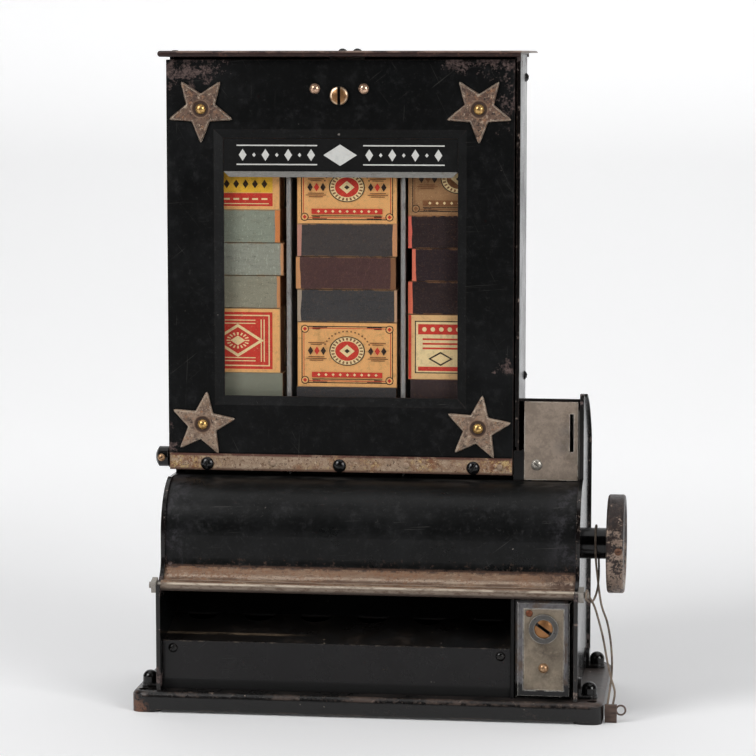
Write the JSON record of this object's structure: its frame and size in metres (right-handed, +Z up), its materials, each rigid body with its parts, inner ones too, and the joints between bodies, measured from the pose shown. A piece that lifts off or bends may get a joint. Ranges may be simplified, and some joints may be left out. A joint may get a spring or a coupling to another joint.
{
  "type": "match vending machine",
  "caption": "Counter matchbox vending machine with a glazed magazine of columns, knob-driven pocketed drum, delivery mouth, coin slot and locking cash drawer.",
  "frame": {"origin": "centre of the base's screw-hole rectangle, on the counter plane under the corner pads", "axes": "+X to the machine's right (the knob side), +Y to the back, +Z up"},
  "size_m": [0.2765, 0.116, 0.3693],
  "materials": {
    "japan_black": "worn gloss japan",
    "base_japan": "worn japan over brown iron",
    "worn_lid": "rubbed brown japan",
    "inner_sheet": "dull black paint",
    "lip_steel": "bare sheet with rust specks",
    "rail_steel": "bare strip with orange rust",
    "bright_steel": "dull bright steel",
    "nickel": "worn warm nickel plate",
    "drawer_tin": "dull tinned sheet",
    "brass": "tarnished brass",
    "star_iron": "speckled bare casting",
    "screw_black": "blackened screw",
    "glass": "old clear sheet glass",
    "sign_black": "matt black painted band",
    "bar_grey": "dull grey strip",
    "card_green": "printed box card, grey-green strikers",
    "card_tan": "printed box card, dark strikers",
    "card_brown": "printed box card, brown strikers",
    "drum_wood": "turned wood, painted black",
    "gear_metal": "dull oiled gear brass",
    "knob_nickel": "nickel worn to brown iron",
    "cord": "limp cotton string",
    "tag_wood": "small stained wooden block"
  },
  "bodies": {
    "machine": {"base_plate": "base_japan", "left_side_plate": "japan_black", "right_side_plate": "japan_black", "inner_wall": "inner_sheet", "corner_lugs": "screw_black", "drum_cover": "japan_black", "delivery_lip": "lip_steel", "tie_rod": "bright_steel", "delivery_floor": "inner_sheet", "drum_apron": "inner_sheet", "tray_front": "japan_black", "back_panel": "japan_black", "deck_plate": "inner_sheet", "magazine_case": "japan_black", "lid": "worn_lid", "body_screws": "screw_black", "lock_keeper": "bright_steel", "column_dividers": "bright_steel", "left_matchboxes": "card_green", "middle_matchboxes": "card_tan", "right_matchboxes": "card_brown", "coin_plate": "nickel", "coin_plate_screw": "bright_steel", "coin_chute": "bright_steel", "coin_cover": "japan_black", "bearing_bushes": "screw_black", "hinge_rod": "bright_steel", "hinge_bearings": "screw_black", "hinge_set_screw": "brass", "pawl_spring": "bright_steel", "string": "cord", "tag": "tag_wood"},
    "door": {"door_panel": "japan_black", "door_glass": "glass", "sign_plate": "sign_black", "sign_bar": "bar_grey", "glass_clips": "bright_steel", "door_stars": "star_iron", "door_rivets": "brass", "door_rail": "rail_steel", "rail_screws": "screw_black", "lock_barrel": "brass"},
    "door_lock": {"door_lock_plug": "brass"},
    "drum": {"vend_drum": "drum_wood", "drum_shaft": "bright_steel", "drum_gear": "gear_metal"},
    "knob": {"knob": "knob_nickel", "knob_hub": "screw_black", "knob_screw": "bright_steel", "drive_shaft": "bright_steel", "drive_pinion": "gear_metal", "ratchet_wheel": "bright_steel"},
    "pawl": {"ratchet_pawl": "bright_steel"},
    "cash_drawer": {"cash_drawer": "drawer_tin", "cash_front": "drawer_tin", "cash_plate": "nickel", "cash_lock_ring": "nickel", "cash_pull": "brass"},
    "cash_lock": {"cash_lock_plug": "brass"}
  },
  "joints": [
    {"name": "door_hinge", "type": "hinge", "parent": "machine", "child": "door", "pos_m": [0, -0.0052, 0.1375], "axis": [1, 0, 0], "range_deg": [0, 80]},
    {"name": "door_lock_turn", "type": "hinge", "parent": "door", "child": "door_lock", "pos_m": [-0.0205, -0.008, 0.3429], "axis": [0, 1, 0], "range_deg": [0, 90]},
    {"name": "drum_spin", "type": "hinge", "parent": "machine", "child": "drum", "pos_m": [0, 0.02, 0.0928], "axis": [1, 0, 0], "continuous": true},
    {"name": "knob_turn", "type": "hinge", "parent": "machine", "child": "knob", "pos_m": [0, -0.01955, 0.0948], "axis": [1, 0, 0], "continuous": true},
    {"name": "pawl_drop", "type": "hinge", "parent": "machine", "child": "pawl", "pos_m": [0, -0.02771, 0.11267], "axis": [1, 0, 0], "range_deg": [-4.5, 0], "stiffness_Nm_per_rad": 0.02},
    {"name": "cash_slide", "type": "slide", "parent": "machine", "child": "cash_drawer", "axis": [0, -1, 0], "range_m": [0, 0.075]},
    {"name": "cash_lock_turn", "type": "hinge", "parent": "cash_drawer", "child": "cash_lock", "pos_m": [0.0987, -0.0496, 0.0515], "axis": [0, 1, 0], "range_deg": [0, 90]}
  ],
  "couplings": [
    {"joint": "knob_turn", "follows": "drum_spin", "ratio": -3}
  ]
}
